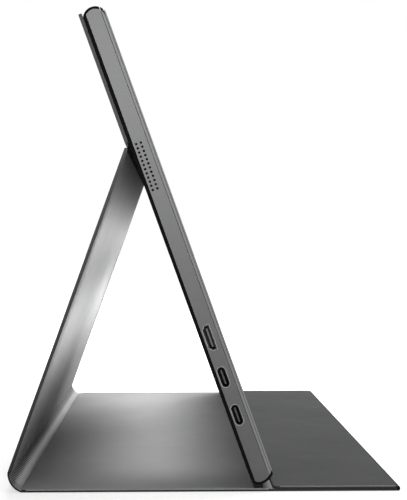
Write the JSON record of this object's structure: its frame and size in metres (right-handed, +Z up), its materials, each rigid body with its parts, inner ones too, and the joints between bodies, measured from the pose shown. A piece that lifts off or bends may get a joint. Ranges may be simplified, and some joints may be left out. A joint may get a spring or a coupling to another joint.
{
  "type": "portable monitor with folding cover",
  "caption": "Slim portable monitor standing back in its folding magnetic cover, with side sockets, speaker grilles, side buttons and an end flap that unfolds.",
  "frame": {"origin": "on the table, under the middle of the object's whole box", "axes": "+X to the user's right along the width, +Y to the rear, +Z up; the screen faces -Y and leans back"},
  "size_m": [0.358, 0.1758, 0.2164],
  "materials": {
    "shell_black": "black anodised, fine satin",
    "rail_grey": "grey anodised, fine bead blast",
    "bezel_grey": "light grey anodised, satin",
    "frame_plastic": "black moulded plastic",
    "gasket_black": "black foam gasket",
    "front_glass": "polished cover glass over a black print",
    "display_dark": "dark display panel, switched off",
    "guide_clear": "clear acrylic under white films",
    "tray_silver": "plain pressed sheet",
    "led_white": "white strip with small lamps",
    "circuit_green": "green solder mask",
    "cable_amber": "amber film",
    "speaker_black": "black moulded plastic",
    "socket_steel": "plated steel shell",
    "socket_plastic": "black moulded plastic",
    "button_grey": "dark grey anodised, satin",
    "screw_steel": "plated steel",
    "post_brass": "turned brass",
    "magnet_steel": "nickel plated",
    "cover_cloth": "dark grey fine woven cloth with a soft coating",
    "cover_lining": "grey microfibre with a fine twill",
    "cover_board": "stiff fibre sheet",
    "rest_rubber": "black rubber"
  },
  "bodies": {
    "base": {"base_cloth": "cover_cloth", "base_board": "cover_board", "base_lining": "cover_lining", "foot_rest": "rest_rubber", "front_crease_cloth": "cover_cloth"},
    "spine": {"spine_cloth": "cover_cloth", "spine_lining": "cover_lining"},
    "leg": {"leg_cloth": "cover_cloth", "leg_board": "cover_board", "leg_lining": "cover_lining"},
    "monitor": {"rear_shell": "shell_black", "screw_posts": "post_brass", "left_side_rail": "rail_grey", "right_side_rail": "rail_grey", "mid_frame": "frame_plastic", "display_bezel": "bezel_grey", "glass_gasket": "gasket_black", "cover_glass": "front_glass", "display_panel": "display_dark", "light_guide": "guide_clear", "backlight_tray": "tray_silver", "led_strip": "led_white", "main_board": "circuit_green", "button_board": "circuit_green", "display_cable": "cable_amber", "left_speaker": "speaker_black", "right_speaker": "speaker_black", "video_socket": "socket_steel", "upper_data_socket": "socket_steel", "lower_data_socket": "socket_steel", "headphone_socket": "socket_plastic", "housing_screws": "screw_steel", "shell_magnets": "magnet_steel", "upper_cloth": "cover_cloth", "upper_board": "cover_board", "upper_lining": "cover_lining", "cover_magnets": "magnet_steel", "upper_fold_cloth": "cover_cloth"},
    "end_flap": {"flap_cloth": "cover_cloth", "flap_board": "cover_board", "flap_lining": "cover_lining"},
    "power_button": {"power_button": "button_grey"},
    "menu_rocker": {"menu_rocker": "button_grey"}
  },
  "joints": [
    {"name": "lower_fold", "type": "hinge", "parent": "base", "child": "spine", "pos_m": [0, 0.08163, 0], "axis": [-1, 0, 0], "range_deg": [0, 55.35]},
    {"name": "spine_fold", "type": "hinge", "parent": "spine", "child": "leg", "pos_m": [0, 0.08787, 0.00903], "axis": [-1, 0, 0], "range_deg": [0, 54.52]},
    {"name": "upper_fold", "type": "hinge", "parent": "leg", "child": "monitor", "pos_m": [0, 0.03439, 0.15451], "axis": [-1, 0, 0], "range_deg": [-39.8, 0], "deforming": ["upper_fold_cloth"]},
    {"name": "flap_fold", "type": "hinge", "parent": "base", "child": "end_flap", "pos_m": [0, -0.08676, 0.00112], "axis": [1, 0, 0], "range_deg": [0, 180], "deforming": ["front_crease_cloth"]},
    {"name": "power_press", "type": "slide", "parent": "monitor", "child": "power_button", "axis": [-1, 0, 0], "range_m": [0, 0.0004], "stiffness_N_per_m": 300},
    {"name": "menu_rock", "type": "hinge", "parent": "monitor", "child": "menu_rocker", "pos_m": [0.176, 0.00835, 0.09737], "axis": [0, -0.9401, 0.3409], "range_deg": [-3, 3], "stiffness_Nm_per_rad": 0.02}
  ],
  "couplings": [
    {"joint": "spine_fold", "follows": "lower_fold", "ratio": 0.98449},
    {"joint": "upper_fold", "follows": "lower_fold", "ratio": -0.71864}
  ]
}
